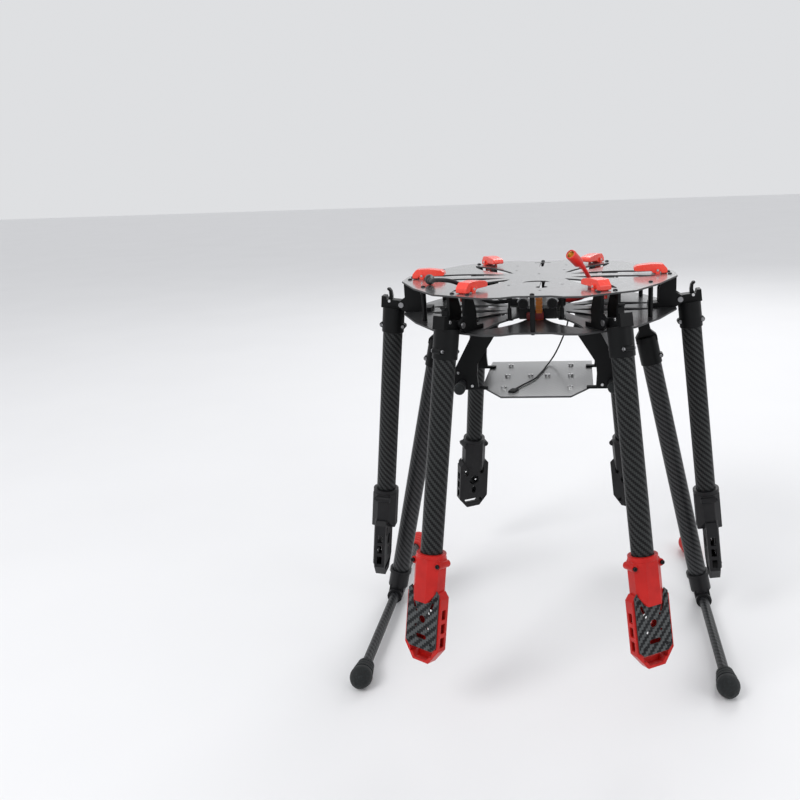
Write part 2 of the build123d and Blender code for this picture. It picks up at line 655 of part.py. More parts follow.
BOARD_Z, BOARD_T = DECK_Z + 6.0, 1.6
LEAD_START = (34.0, -24.0, BOARD_Z + BOARD_T + 5.0)

with BuildPart() as power_board:
    with BuildSketch(Plane.XY.offset(BOARD_Z)) as board:
        Rectangle(BOARD, BOARD)
        fillet(board.vertices(), 4.0)
        with Locations((LEAD_START[0] - 8, LEAD_START[1]), (8 - LEAD_START[0], LEAD_START[1])):
            Rectangle(14, 12)
    extrude(amount=BOARD_T)
    with BuildSketch(Plane.XY.offset(DECK_Z)):
        with GridLocations(2 * 24.0, 2 * 24.0, 2, 2):
            Circle(3.0)
    extrude(amount=BOARD_Z - DECK_Z)
    for x in (-1, 1):
        with BuildSketch(Plane.XY.offset(BOARD_Z + BOARD_T)):
            with Locations((x * (LEAD_START[0] - 5), LEAD_START[1])):
                Rectangle(10, 9)
        extrude(amount=8)
    for low, high in (((-10.5, -86), (-3.5, -78)), ((-0.5, -86), (9.0, -78))):
        with BuildSketch(Plane.XY.offset(DECK_Z)):
            with Locations(((low[0] + high[0]) / 2, (low[1] + high[1]) / 2)):
                Rectangle(high[0] - low[0], high[1] - low[1])
        extrude(amount=8)
    with BuildSketch(Plane.XY.offset(DECK_Z + 8)):
        with Locations((4.0, -82)):
            Rectangle(7, 8)
    extrude(amount=18)
save(power_board, "power_board")

# ---- cords ------------------------------------------------------------------------------------------------

# Both power leads leave a terminal of the board and come up through a slot beside a front latch.
POSITIVE_ROUTE = [
    (34.3, -24.0, 453.6), (45.5, -29.0, 455.0), (55.0, -43.5, 460.0), (61.5, -60.0, 468.5), (64.0, -73.0, 480.0),
    (61.0, -85.0, 491.0), (55.0, -97.0, 502.0),
]
POSITIVE_NOSE = (41.0, -117.0, 519.5)
NEGATIVE_ROUTE = [
    (-34.3, -24.0, 453.6), (-47.0, -29.0, 454.0), (-56.5, -46.0, 457.0), (-64.0, -66.0, 464.0),
    (-71.5, -84.5, 473.5), (-79.5, -98.5, 484.0), (-92.0, -106.0, 491.5), (-104.0, -106.5, 493.0),
    (-113.5, -99.0, 492.0), (-119.0, -88.0, 490.0), (-122.0, -77.0, 488.2),
]
NEGATIVE_NOSE = (-127.5, -54.0, 487.3)
# The signal cable drops from the bottom plate and lies forward along the battery plate.
SIGNAL_ROUTE = [
    (38.0, 60.0, 439.0), (37.4, 58.5, 424.0), (34.0, 55.5, 406.0), (26.5, 50.5, 387.5), (18.0, 42.0, 371.5),
    (11.0, 29.0, 363.8), (7.0, 12.0, 362.4), (4.5, -8.0, 362.3), (0.5, -28.0, 362.4), (-3.0, -48.0, 362.3),
    (-10.5, -66.0, 362.4), (-18.5, -82.0, 362.3), (-25.0, -99.0, 362.3),
]
SIGNAL_NOSE = (-29.0, -112.0, 362.3)


def corner_radii(route):
    """Largest radius that each corner's two runs allow."""
    points = [Vector(*p) for p in route]
    radii = []
    for a, b, c in zip(points, points[1:], points[2:]):
        turn = radians((b - a).get_angle(c - b))
        radii.append(0.45 * min((b - a).length, (c - b).length) / tan(turn / 2))
    return radii


def cord_part(route, diameter):
    radii = corner_radii(route)
    start = Vector(*route[0])
    with BuildPart() as cord:
        with BuildLine() as line:
            FilletPolyline(*route, radius=radii)
        with BuildSketch(Plane(start, z_dir=Vector(*route[1]) - start)):
            Circle(diameter / 2)
        sweep(path=line.wires()[0])
    length = line.wires()[0].length
    ratio = cord.part.volume / (pi * diameter ** 2 / 4 * length)
    print(f"cord {length:.0f} mm, volume ratio {ratio:.3f}, radii {[round(r) for r in radii]}")
    return cord


def plug_part(start, nose):
    """Round bullet connector: a sleeve that tapers to the wire, open at its nose."""
    along = Vector(*nose) - Vector(*start)
    length = along.length
    plane = Plane(Vector(*start), x_dir=along, z_dir=along.cross(Vector(0, 0, 1)))
    with BuildPart() as plug:
        with BuildSketch(plane):
            Polygon(
                (0, 0), (0, LEAD_D / 2 + 0.8), (4, LEAD_D / 2 + 1.2), (11, PLUG_R - 0.3), (length - 1, PLUG_R),
                (length, PLUG_R - 0.8), (length, PLUG_BORE), (length - 9, PLUG_BORE), (length - 9, 0), align=None,
            )
        revolve(axis=Axis(start, tuple(along)))
    return plug


save(cord_part(POSITIVE_ROUTE, LEAD_D), "positive_lead")
save(plug_part(POSITIVE_ROUTE[-1], POSITIVE_NOSE), "positive_plug")
save(cord_part(NEGATIVE_ROUTE, LEAD_D), "negative_lead")
save(plug_part(NEGATIVE_ROUTE[-1], NEGATIVE_NOSE), "negative_plug")
save(cord_part(SIGNAL_ROUTE, SIGNAL_D), "signal_cable")

with BuildPart() as signal_plug:
    tip = Vector(*SIGNAL_ROUTE[-1])
    along = Vector(*SIGNAL_NOSE) - tip
    with BuildSketch(Plane(tip, x_dir=along.cross(Vector(0, 0, 1)), z_dir=along)):
        Rectangle(7.8, 2.5)
    extrude(amount=along.length)
save(signal_plug, "signal_plug")
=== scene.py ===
import json
from math import atan2, cos, pi, radians, sin

import bmesh
import bpy
from mathutils import Matrix, Vector

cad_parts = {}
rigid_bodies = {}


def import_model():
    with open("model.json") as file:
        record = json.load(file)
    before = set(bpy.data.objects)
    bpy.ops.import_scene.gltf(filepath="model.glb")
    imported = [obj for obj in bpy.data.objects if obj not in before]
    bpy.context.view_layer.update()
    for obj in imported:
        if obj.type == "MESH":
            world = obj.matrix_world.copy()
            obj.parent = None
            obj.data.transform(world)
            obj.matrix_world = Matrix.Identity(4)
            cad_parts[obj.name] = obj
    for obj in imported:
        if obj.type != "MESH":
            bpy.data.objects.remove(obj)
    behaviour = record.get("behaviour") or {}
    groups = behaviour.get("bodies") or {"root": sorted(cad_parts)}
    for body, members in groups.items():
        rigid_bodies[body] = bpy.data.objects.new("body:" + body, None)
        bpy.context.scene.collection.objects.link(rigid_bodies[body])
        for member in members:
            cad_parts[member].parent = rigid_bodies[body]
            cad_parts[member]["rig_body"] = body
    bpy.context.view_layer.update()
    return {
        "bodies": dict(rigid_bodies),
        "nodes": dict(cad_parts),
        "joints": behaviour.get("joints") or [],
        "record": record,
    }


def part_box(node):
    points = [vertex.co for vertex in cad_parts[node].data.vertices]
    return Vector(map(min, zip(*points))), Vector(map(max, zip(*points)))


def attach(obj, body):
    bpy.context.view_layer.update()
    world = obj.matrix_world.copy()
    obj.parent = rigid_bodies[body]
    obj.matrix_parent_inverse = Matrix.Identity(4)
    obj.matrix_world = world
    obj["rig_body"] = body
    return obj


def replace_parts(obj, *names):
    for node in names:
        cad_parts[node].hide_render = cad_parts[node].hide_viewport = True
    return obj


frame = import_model()
nodes = frame["nodes"]
joints = {joint["name"]: joint for joint in frame["joints"]}

MM = 0.001
UP = Vector((0, 0, 1))
SHARP = 33.0                # smallest angle of an edge that is shaded sharp, in degrees

# Driving sizes, in millimetres, as in the CAD source
ARMS = ("right", "back_right", "back_left", "left", "front_left", "front_right")
RED_MOUNTS = ("front_left", "front_right")
SIDES = {"left": -1, "right": 1}
ARM_OUT = 95.0              # an arm's swing from straight down to its stop, in degrees
LEG_OUT = 12.6              # a leg's lean from the vertical, in degrees
TUBE_R, AXIS_H = 12.5, 11.5
EAR_X, HOLDER_R = 29.0, 14.0
TRAY_TOP, MOTOR_PLATE = 19.0, 2.0
BOSS_X = 265.0
SKID_R = 6.5
DECK_Z, BOTTOM_Z, ROOF_Z, TOP_Z = 441.0, 439.0, 479.0, 481.0
BOARD_Z, BOARD_T = 447.0, 1.6
TRAY_Z, RAIL_X, RAIL_Z, RAIL_R = 361.0, 88.0, 368.5, 5.0
BRACKET_SCREWS, STANDOFF_R, FOOT_SCREW_R = (160.0, 10.5), 152.0, 140.0
CLAMP_EAR, STOP_PIN, TONGUE_W = 5.5, (-2.6, 16.3), 16.0
CLAMP_IN = 0.5              # a clamp screw's axis lies this far inside its holder's surface
BOSS_Y, BOSS_TOP = 17.6, 21.0
PLATE_SCREWS = ((302.5, 17.8), (356.0, 14.5))
LEG_EAR_X = 55.5
HANGER_FACES, HANGER_SCREWS = (-96.0, 16.0), ((76.0, 366.0), (92.0, 382.0))
BATTERY_COLS, BATTERY_ROWS, BATTERY_INNER = 39.0, (-91.0, -34.0, 19.0), 10.5
CAPACITORS = {"left": -14.7, "right": 19.2}
CAPACITOR_R, CAPACITOR_LEN, CAPACITOR_Y, CAPACITOR_Z = 6.2, 22.0, -79.0, 459.0
POST_X, POST_Y = 30.5, -82.0
BOOTS, BOOT_DEPTH, BOOT_H = ((-7.0, 7.4), (4.25, 9.9)), 8.4, 9.0
AMBER_X, AMBER_RIBS, AMBER_RIB, AMBER_RIB_T = 4.0, (10.6, 15.0, 19.4, 23.6), (8.0, 8.8), 2.3
TERMINAL_Y, TERMINAL_H = -82.0, 8.2
BOARD_FRONT = -60.0         # what the board's node has in front of this is the coloured blocks
CARRIER_W = 44.0
TOW = 2.0                   # width of one tow in the carbon sheets
TUBE_TOW = 2 * pi * TUBE_R / 40

# Turned profiles, as distances along the axis with their radii
POST_PROFILE = [
    (DECK_Z, 0), (DECK_Z, 4.4), (DECK_Z + 1.5, 4.4), (DECK_Z + 1.9, 2.4), (DECK_Z + 14, 2.4),
    (DECK_Z + 14.5, 1.5), (ROOF_Z - 14.5, 1.5), (ROOF_Z - 14, 3.2), (ROOF_Z, 3.2), (ROOF_Z, 0),
]
PIN_HEAD = [(-0.4, 0), (-0.4, 1.9), (0.1, 1.9), (0.35, 1.6), (0.35, 0)]
INSERT_PROFILE = [(-0.6, 1.2), (2.5, 1.2), (2.6, 1.3), (2.6, 3.0), (2.3, 3.3), (0, 3.4)]


# ---- shader graphs -------------------------------------------------------------------------------------

class Look:
    """One Principled material, built node by node."""

    def __init__(self, name, **settings):
        self.material = bpy.data.materials.new(name)
        self.material.use_nodes = True
        self.tree = self.material.node_tree
        self.shader = self.tree.nodes["Principled BSDF"]
        for label, value in settings.items():
            self.shader.inputs[label.replace("_", " ")].default_value = value
        self.place = self.add("ShaderNodeTexCoord").outputs["Object"]

    def add(self, kind, inputs=(), **properties):
        node = self.tree.nodes.new(kind)
        for key, value in properties.items():
            setattr(node, key, value)
        for key, value in dict(inputs).items():
            self.put(node.inputs[key], value)
        return node

    def put(self, socket, value):
        if isinstance(value, bpy.types.NodeSocket):
            self.tree.links.new(value, socket)
        else:
            socket.default_value = value

    def calc(self, operation, *values):
        return self.add("ShaderNodeMath", enumerate(values), operation=operation).outputs[0]

    def mix(self, amount, low, high):
        """Number between low and high."""
        return self.add("ShaderNodeMix", {0: amount, 2: low, 3: high}).outputs[0]

    def blend(self, amount, low, high):
        """Colour between low and high, each an RGB triple or a socket."""
        pair = [c if isinstance(c, bpy.types.NodeSocket) else (*c, 1) for c in (low, high)]
        return self.add("ShaderNodeMix", {0: amount, 6: pair[0], 7: pair[1]}, data_type="RGBA").outputs[2]

    def noise(self, scale, detail=2.0, place=None):
        """Noise from 0 to 1; scale is in cycles per metre."""
        inputs = {"Vector": place or self.place, "Scale": scale, "Detail": detail}
        return self.add("ShaderNodeTexNoise", inputs).outputs[0]

    def stretch(self, place, factors):
        return self.add("ShaderNodeMapping", {0: place, 3: factors}).outputs[0]

    def band(self, value, low, high):
        """0 below low, 1 above high, smooth between."""
        inputs = {0: value, 1: low, 2: high}
        return self.add("ShaderNodeMapRange", inputs, interpolation_type="SMOOTHSTEP").outputs[0]

    def bump(self, height, depth, strength=1.0):
        normal = self.add("ShaderNodeBump", {"Height": height, "Distance": depth, "Strength": strength})
        self.put(self.shader.inputs["Normal"], normal.outputs[0])

    def set(self, label, value):
        self.put(self.shader.inputs[label], value)


def twill(look, tow, light, dark):
    """Colour and height of 2/2 twill cloth on the piece's weave map, which is in metres. The colour holds
    painted sheen: tows of one direction are lighter where they lie on top, brightest on their crowns, with
    painted shade towards their flanks.
    """
    weave = look.add("ShaderNodeUVMap", uv_map="weave").outputs[0]
    split = look.add("ShaderNodeSeparateXYZ", {0: weave})
    u, v = (look.calc("DIVIDE", split.outputs[k], tow * MM) for k in (0, 1))
    i, j = look.calc("FLOOR", u), look.calc("FLOOR", v)
    over = look.calc("LESS_THAN", look.calc("FLOORED_MODULO", look.calc("SUBTRACT", i, j), 4.0), 1.5)
    crowns, shades = [], []
    for across, lane, stretched in ((u, i, (9.0, 0.35, 1)), (v, j, (0.35, 9.0, 1))):
        middle = look.calc("SUBTRACT", look.calc("FRACT", across), 0.5)
        crowns.append(look.calc("SUBTRACT", 1.0, look.calc("MULTIPLY", look.calc("ABSOLUTE", middle), 2.0)))
        fibres = look.noise(1 / (tow * MM), 1.0, look.stretch(weave, stretched))
        lane_tone = look.add("ShaderNodeTexWhiteNoise", {"W": lane}, noise_dimensions="1D").outputs[0]
        shades.append(look.mix(0.5, fibres, lane_tone))
    crown = look.calc("POWER", look.mix(over, crowns[1], crowns[0]), 0.5)
    shade = look.mix(over, shades[1], shades[0])
    # painted sheen and painted shade: on-top tows are lighter, most on their crowns and darker at their
    # flanks; the fibre and lane noise is random tone
    painted_sheen_and_fibre_tone = look.calc("MULTIPLY", look.mix(over, 0.0, 0.75), look.mix(crown, 0.6, 1.0))
    painted_sheen_and_fibre_tone = look.calc("ADD", painted_sheen_and_fibre_tone, look.calc("MULTIPLY", shade, 0.25))
    return look.blend(painted_sheen_and_fibre_tone, dark, light), crown, over


def carbon(name, light, dark, tow=TOW, glint=(0.5, 0.5), **settings):
    """Woven carbon under clear resin: the weave paints sheen and shade into the base, and the coat stays
    smooth.
    glint is how strongly the tows reflect, first those that run across and then those that run along."""
    look = Look(name, **settings)
    colour, crown, over = twill(look, tow, light, dark)
    # the base colour carries the weave's painted sheen and painted shade
    look.set("Base Color", colour)
    look.set("Specular IOR Level", look.mix(over, *glint))
    haze = look.noise(35.0, 3.0)
    look.set("Roughness", look.calc("ADD", look.mix(over, 0.34, 0.46), look.mix(haze, -0.05, 0.05)))
    look.bump(crown, 0.00012)
    return look.material


def laminate(name):
    """Milled edge of a carbon sheet, with its plies showing as thin lines."""
    look = Look(name, Roughness=0.62)
    plies = look.noise(5200.0, 2.0, look.stretch(look.place, (0.02, 0.02, 1)))
    look.set("Base Color", look.blend(plies, (0.012, 0.012, 0.013), (0.06, 0.06, 0.062)))
    look.bump(plies, 0.00006)
    return look.material


def moulded(name, colour, deep, roughness, **settings):
    """Moulded plastic: slight colour drift, fine spark texture, and a drift in gloss."""
    look = Look(name, **settings)
    drift = look.noise(60.0, 3.0)
    spark = look.noise(2600.0, 2.0)
    look.set("Base Color", look.blend(look.band(drift, 0.25, 0.75), deep, colour))
    look.set("Roughness", look.mix(look.noise(140.0, 4.0), roughness - 0.07, roughness + 0.07))
    look.bump(spark, 0.00003)
    return look.material


def anodised(name, colour, **settings):
    """Blasted and anodised aluminium: satin, with fine grain."""
    look = Look(name, Metallic=0.3, **settings)
    grain = look.noise(3800.0, 2.0)
    pale = [c * 2.2 for c in colour]
    look.set("Base Color", look.blend(look.noise(90.0, 3.0), colour, pale))
    look.set("Roughness", look.mix(grain, 0.34, 0.48))
    look.bump(grain, 0.00002)
    return look.material


def metal(name, colour, roughness=0.26):
    """Turned bright metal with fine tool marks."""
    look = Look(name, Metallic=1.0)
    marks = look.noise(900.0, 3.0, look.stretch(look.place, (1, 1, 6)))
    look.set("Base Color", look.blend(marks, [c * 0.78 for c in colour], colour))
    look.set("Roughness", look.mix(marks, roughness - 0.08, roughness + 0.12))
    look.bump(marks, 0.00002)
    return look.material


def rubber(name, colour, dusty, roughness=0.72):
    """Matt rubber with dust in its low spots."""
    look = Look(name, Sheen_Weight=0.06, Sheen_Roughness=0.5, Specular_IOR_Level=0.3)
    dust = look.band(look.noise(420.0, 4.0), 0.45, 0.8)
    look.set("Base Color", look.blend(dust, colour, dusty))
    look.set("Roughness", look.mix(dust, roughness, roughness + 0.15))
    look.bump(look.noise(1800.0, 3.0), 0.00005)
    return look.material


def circuit(name):
    """Black solder mask over copper traces."""
    look = Look(name, Roughness=0.32, Coat_Weight=0.4, Coat_Roughness=0.2)
    traces = look.add("ShaderNodeTexBrick", {
        "Vector": look.place, "Scale": 60.0, "Mortar Size": 0.03, "Mortar Smooth": 0.1,
        "Brick Width": 0.5, "Row Height": 0.22,
    }).outputs["Fac"]
    look.set("Base Color", look.blend(traces, (0.012, 0.014, 0.013), (0.05, 0.055, 0.045)))
    look.bump(traces, 0.00008)
    return look.material


LOOKS = {
    # painted light: the top plate's carbon gets a much lighter base than the same carbon on the bottom plate
    "sheet": carbon("carbon_sheet_painted_lit", (0.17, 0.172, 0.175), (0.08, 0.08, 0.082),
                    Coat_Weight=1.0, Coat_Roughness=0.12, Coat_IOR=2.4),
    # painted shade: the bottom plate's carbon is darker, for the shade inside the bay
    "lower_sheet": carbon("carbon_lower_sheet_painted_shade", (0.04, 0.041, 0.043), (0.014, 0.014, 0.015),
                          Coat_Weight=0.6, Coat_Roughness=0.2, Coat_IOR=1.5),
    "motor_sheet": carbon("carbon_motor_sheet", (0.05, 0.056, 0.058), (0.004, 0.004, 0.005), 2.8, (0.1, 0.5),
                          Coat_Weight=0.1, Coat_Roughness=0.3),
    # painted sheen: the battery plate's carbon is painted pale grey for its grazing reflection, and lighter
    # still as painted light against the shade under the plates
    "painted_sheen_sheet": carbon("carbon_tray_painted_sheen", (0.8, 0.8, 0.805), (0.66, 0.66, 0.665),
                         Coat_Weight=1.0, Coat_Roughness=0.2, Coat_IOR=1.9),
    "tube": carbon("carbon_tube", (0.02, 0.0225, 0.0225), (0.0045, 0.0045, 0.005), TUBE_TOW, (0.1, 0.3),
                   Coat_Weight=0.05, Coat_Roughness=0.3),
    "leg_tube": carbon("carbon_leg_tube", (0.03, 0.032, 0.034), (0.008, 0.008, 0.009), TUBE_TOW, (0.15, 0.4),
                       Coat_Weight=0.1, Coat_Roughness=0.3),
    "edge": laminate("laminate_edge"),
    "red": moulded("red_nylon", (0.5, 0.012, 0.009), (0.4, 0.008, 0.006), 0.34, Specular_IOR_Level=0.25,
                   Subsurface_Weight=0.05, Subsurface_Radius=(0.004, 0.001, 0.001)),
    "latch_red": moulded("red_latch", (0.97, 0.08, 0.045), (0.9, 0.055, 0.035), 0.26,
                         Coat_Weight=0.4, Coat_Roughness=0.1,
                         Subsurface_Weight=0.12, Subsurface_Radius=(0.005, 0.001, 0.001)),
    "black": moulded("black_nylon", (0.008, 0.008, 0.009), (0.004, 0.004, 0.005), 0.42,
                     Specular_IOR_Level=0.25),
    "satin": anodised("black_anodised", (0.003, 0.0032, 0.0035), Specular_IOR_Level=0.2),
    "steel": metal("steel", (0.72, 0.72, 0.73)),
    "black_steel": metal("black_screw", (0.03, 0.03, 0.032), 0.34),
    "dull_steel": metal("dull_steel", (0.3, 0.3, 0.31), 0.34),
    "plated": metal("plated_insert", (0.97, 0.97, 0.97), 0.16),
    "gold": metal("gold", (0.95, 0.68, 0.3), 0.2),
    "rubber": rubber("black_rubber", (0.008, 0.0095, 0.01), (0.022, 0.027, 0.029)),
    "red_rubber": rubber("red_rubber", (0.5, 0.02, 0.016), (0.62, 0.06, 0.05)),
    "red_wire": rubber("red_silicone", (0.62, 0.012, 0.012), (0.7, 0.03, 0.03), 0.42),
    "black_wire": rubber("black_silicone", (0.005, 0.005, 0.006), (0.012, 0.012, 0.013), 0.5),
    "red_sleeve": moulded("red_sleeve", (0.74, 0.03, 0.022), (0.6, 0.015, 0.012), 0.3),
    "black_sleeve": moulded("black_sleeve", (0.008, 0.008, 0.009), (0.005, 0.005, 0.005), 0.36,
                            Specular_IOR_Level=0.2),
    "board": circuit("circuit_board"),
    "amber": moulded("amber_connector", (0.8, 0.28, 0.02), (0.62, 0.16, 0.008), 0.34,
                     Subsurface_Weight=0.2, Subsurface_Radius=(0.004, 0.002, 0.001)),
    "pale": moulded("pale_arc_strip", (0.6, 0.61, 0.62), (0.5, 0.51, 0.52), 0.4),
    "capacitor": moulded("capacitor_sleeve", (0.012, 0.013, 0.016), (0.02, 0.02, 0.024), 0.3),
    "dark_red": moulded("dark_red_block", (0.3, 0.008, 0.008), (0.16, 0.004, 0.004), 0.36),
}


# ---- mesh helpers --------------------------------------------------------------------------------------

def out_of(joint):
    """Outward direction of the arm, leg or latch that turns about a joint."""
    return UP.cross(Vector(joints[joint]["axis"])).normalized()


def swing_matrix(joint, lean):
    """Placing matrix of a hanging arm or leg, in metres: x down it from the hinge, z outwards."""
    out = out_of(joint)
    down = out * sin(radians(lean)) - UP * cos(radians(lean))
    away = out * cos(radians(lean)) + UP * sin(radians(lean))
    turn = Matrix((down, away.cross(down), away)).transposed().to_4x4()
    return Matrix.Translation(joints[joint]["pos_m"]) @ turn


def along_y(x, z):
    """Placing matrix of a pipe that lies along Y at x and z, in metres."""
    return Matrix.Translation((x, 0, z)) @ Matrix.Rotation(pi / 2, 4, "Z")


def in_millimetres(place):
    """A placing matrix whose own origin is in millimetres, for the screw helpers."""
    return Matrix.Translation(place.translation / MM) @ place.to_3x3().to_4x4()


def finish_mesh(piece):
    """Smooth shading that keeps edges sharper than SHARP, weighted towards the large faces."""
    mesh = piece.data
    for polygon in mesh.polygons:
        polygon.use_smooth = True
    mesh.set_sharp_from_angle(angle=radians(SHARP))
    weigh = piece.modifiers.new("weighted_normals", "WEIGHTED_NORMAL")
    weigh.keep_sharp = True


def add_piece(name, bm, body, looks):
    """A new object from bm, which is in millimetres, on a CAD body."""
    bm.transform(Matrix.Scale(MM, 4))
    bmesh.ops.recalc_face_normals(bm, faces=bm.faces)
    mesh = bpy.data.meshes.new(name)
    bm.to_mesh(mesh)
    bm.free()
    piece = bpy.data.objects.new(name, mesh)
    bpy.context.scene.collection.objects.link(piece)
    for look in [looks] if isinstance(looks, str) else looks:
        mesh.materials.append(LOOKS[look])
    finish_mesh(piece)
    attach(piece, body)
    return piece


def facing_along(direction):
    """Picks the first look for faces square to a direction, and the second for the others."""
    return lambda face: 0 if abs(face.normal.dot(direction)) > 0.98 else 1


def polished(node, looks, edge=0.4, crease=35.0, pick=None):
    """A copy of a CAD node with rounded edges, which stands for it.
    looks is one look or several, and then pick gives the number of each face's look."""
    source = nodes[node]
    bm = bmesh.new()
    bm.from_mesh(source.data)
    bmesh.ops.remove_doubles(bm, verts=bm.verts, dist=1e-6)
    bmesh.ops.dissolve_limit(bm, angle_limit=radians(0.6), verts=bm.verts, edges=bm.edges)
    corners = [e for e in bm.edges if len(e.link_faces) == 2 and e.calc_face_angle() > radians(crease)]
    bmesh.ops.bevel(
        bm, geom=corners, offset=edge * MM, segments=2, profile=0.5, affect="EDGES", clamp_overlap=False
    )
    if pick:
        for face in bm.faces:
            face.material_index = pick(face)
    mesh = bpy.data.meshes.new(node)
    bm.to_mesh(mesh)
    bm.free()
    if "custom_normal" in mesh.attributes:
        mesh.attributes.remove(mesh.attributes["custom_normal"])
    piece = bpy.data.objects.new(f"{node}_finished", mesh)
    bpy.context.scene.collection.objects.link(piece)
    for look in [looks] if isinstance(looks, str) else looks:
        mesh.materials.append(LOOKS[look])
    finish_mesh(piece)
    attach(piece, source["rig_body"])
    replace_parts(piece, node)
    return piece


def lay_weave(piece, place=Matrix()):
    """Weave map of a flat sheet: the x and y of its own frame."""
    local = place.inverted()
    layer = piece.data.uv_layers.new(name="weave")
    for loop in piece.data.loops:
        x, y, _ = local @ piece.data.vertices[loop.vertex_index].co
        layer.data[loop.index].uv = (x, y)


def wrap_weave(piece, places, radius):
    """Weave map of round tubes, each along x of its own frame: the distance round it, and along it."""
    frames = [place.inverted() for place in places]
    layer = piece.data.uv_layers.new(name="weave")
    for polygon in piece.data.polygons:
        local = min(frames, key=lambda frame: (frame @ polygon.center).yz.length)
        points = [local @ piece.data.vertices[k].co for k in polygon.vertices]
        middle = sum(points, Vector()) / len(points)
        start = atan2(middle.z, middle.y)
        for loop, point in zip(polygon.loop_indices, points):
            turn = (atan2(point.z, point.y) - start + pi) % (2 * pi) - pi
            layer.data[loop].uv = (-(start + turn) * radius * MM, point.x)


def lathe(bm, profile, steps=48, place=Matrix(), material=0):
    """Adds a turned solid to bm: profile is (distance along z, radius) in millimetres."""
    rings = []
    for along, radius in profile:
        if radius < 1e-6:
            rings.append([bm.verts.new(place @ Vector((0, 0, along)))])
            continue
        turns = [2 * pi * k / steps for k in range(steps)]
        rings.append([bm.verts.new(place @ Vector((radius * cos(t), radius * sin(t), along))) for t in turns])
    for low, high in zip(rings, rings[1:]):
        for k in range(steps):
            after = k + 1
            corners = [low[k % len(low)], low[after % len(low)], high[after % len(high)], high[k % len(high)]]
            bm.faces.new(list(dict.fromkeys(corners))).material_index = material


def prism(bm, outline, low, high, place=Matrix(), edge=0.0, material=0):
    """Adds an extruded outline to bm, between two heights on z, with its edges chamfered."""
    base = [bm.verts.new(place @ Vector((x, y, low))) for x, y in outline]
    face = bm.faces.new(base)
    raised = bmesh.ops.extrude_face_region(bm, geom=[face])["geom"]
    tops = [g for g in raised if isinstance(g, bmesh.types.BMVert)]
    lift = place.to_3x3() @ Vector((0, 0, high - low))
    bmesh.ops.translate(bm, verts=tops, vec=lift)
    faces = {f for v in base + tops for f in v.link_faces}
    for f in faces:
        f.material_index = material
    if edge:
        edges = list({e for f in faces for e in f.edges})
        made = bmesh.ops.bevel(bm, geom=edges, offset=edge, segments=2, profile=0.5, affect="EDGES")
        for f in made["faces"]:
            f.material_index = material


def box_outline(width, depth, x=0.0, y=0.0):
    return [(x + sx * width / 2, y + sy * depth / 2) for sx, sy in ((-1, -1), (1, -1), (1, 1), (-1, 1))]


def ngon(radius, count, turn=0.0):
    return [(radius * cos(turn + 2 * pi * k / count), radius * sin(turn + 2 * pi * k / count))
            for k in range(count)]


def facing(point, direction):
    """Placing matrix, in millimetres, with z along direction at point."""
    return Matrix.Translation(point) @ Vector(direction).to_track_quat("Z", "Y").to_matrix().to_4x4()


def button_screw(bm, place, head=2.7, height=1.7, socket=1.15):
    """A button-head screw's head with its hexagon socket, standing on z = 0 of place."""
    dome = [(height * t, head * (1 - 0.34 * t * t)) for t in (0.0, 0.25, 0.5, 0.75, 0.92)]
    lathe(bm, [(0, 0), *dome, (height, head * 0.56)], 24, place)
    ring = [bm.verts.new(place @ Vector((*p, height))) for p in ngon(head * 0.56, 24)]
    rim = [bm.verts.new(place @ Vector((*p, height))) for p in ngon(socket, 6)]
    floor = [bm.verts.new(place @ Vector((*p, height * 0.35))) for p in ngon(socket, 6)]
    for k in range(6):
        last = (k + 1) % 6
        bm.faces.new([rim[k], rim[last], floor[last], floor[k]])
        fan = [ring[(4 * k + n) % 24] for n in range(5)]
        bm.faces.new([*fan, rim[last], rim[k]])
    bm.faces.new(floor)


def cap_screw(bm, place, head, height, socket):
    """A cap-head screw's head: straight knurled side, flat top and hexagon socket."""
    steps = 36
    side = [head - 0.12 * (k % 2) for k in range(steps)]
    levels = [(0.0, 1.0), (height - 0.35, 1.0), (height, 0.9)]
    rings = [[bm.verts.new(place @ Vector((side[k] * f * cos(2 * pi * k / steps),
                                           side[k] * f * sin(2 * pi * k / steps), z)))
              for k in range(steps)] for z, f in levels]
    for low, high in zip(rings, rings[1:]):
        for k in range(steps):
            last = (k + 1) % steps
            bm.faces.new([low[k], low[last], high[last], high[k]])
    bm.faces.new(rings[0])
    rim = [bm.verts.new(place @ Vector((*p, height))) for p in ngon(socket, 6)]
    floor = [bm.verts.new(place @ Vector((*p, height * 0.4))) for p in ngon(socket, 6)]
    share = steps // 6
    for k in range(6):
        last = (k + 1) % 6
        bm.faces.new([rim[k], rim[last], floor[last], floor[k]])
        fan = [rings[-1][(share * k + n) % steps] for n in range(share + 1)]
        bm.faces.new([*fan, rim[last], rim[k]])
    bm.faces.new(floor)


def nut(bm, place, across, height):
    """A hexagon nut, with the end of its screw standing out of it."""
    prism(bm, ngon(across / 3 ** 0.5, 6), 0, height, place, 0.3)
    lathe(bm, [(height - 0.2, 0), (height + 0.5, 1.4), (height + 0.9, 0.9), (height + 0.9, 0)], 16, place)


# ---- camera --------------------------------------------------------------------------------------------

camera = bpy.data.objects.new("camera", bpy.data.cameras.new("camera"))
bpy.context.scene.collection.objects.link(camera)
camera.location = (0.0495, -1.0394, 0.6193)
CAMERA_YAW, CAMERA_PITCH, CAMERA_ROLL = -0.1037, 0.2782, -0.0373
camera.rotation_mode = "XYZ"
aim = Matrix.Rotation(-CAMERA_YAW, 3, "Z") @ Matrix.Rotation(pi / 2 - CAMERA_PITCH, 3, "X")
camera.rotation_euler = (aim @ Matrix.Rotation(CAMERA_ROLL, 3, "Z")).to_euler()
camera.data.sensor_width = 36.0
camera.data.lens = 37.53
camera.data.shift_x = -0.12
camera.data.clip_start = 0.01
bpy.context.scene.camera = camera


# ---- cords ---------------------------------------------------------------------------------------------

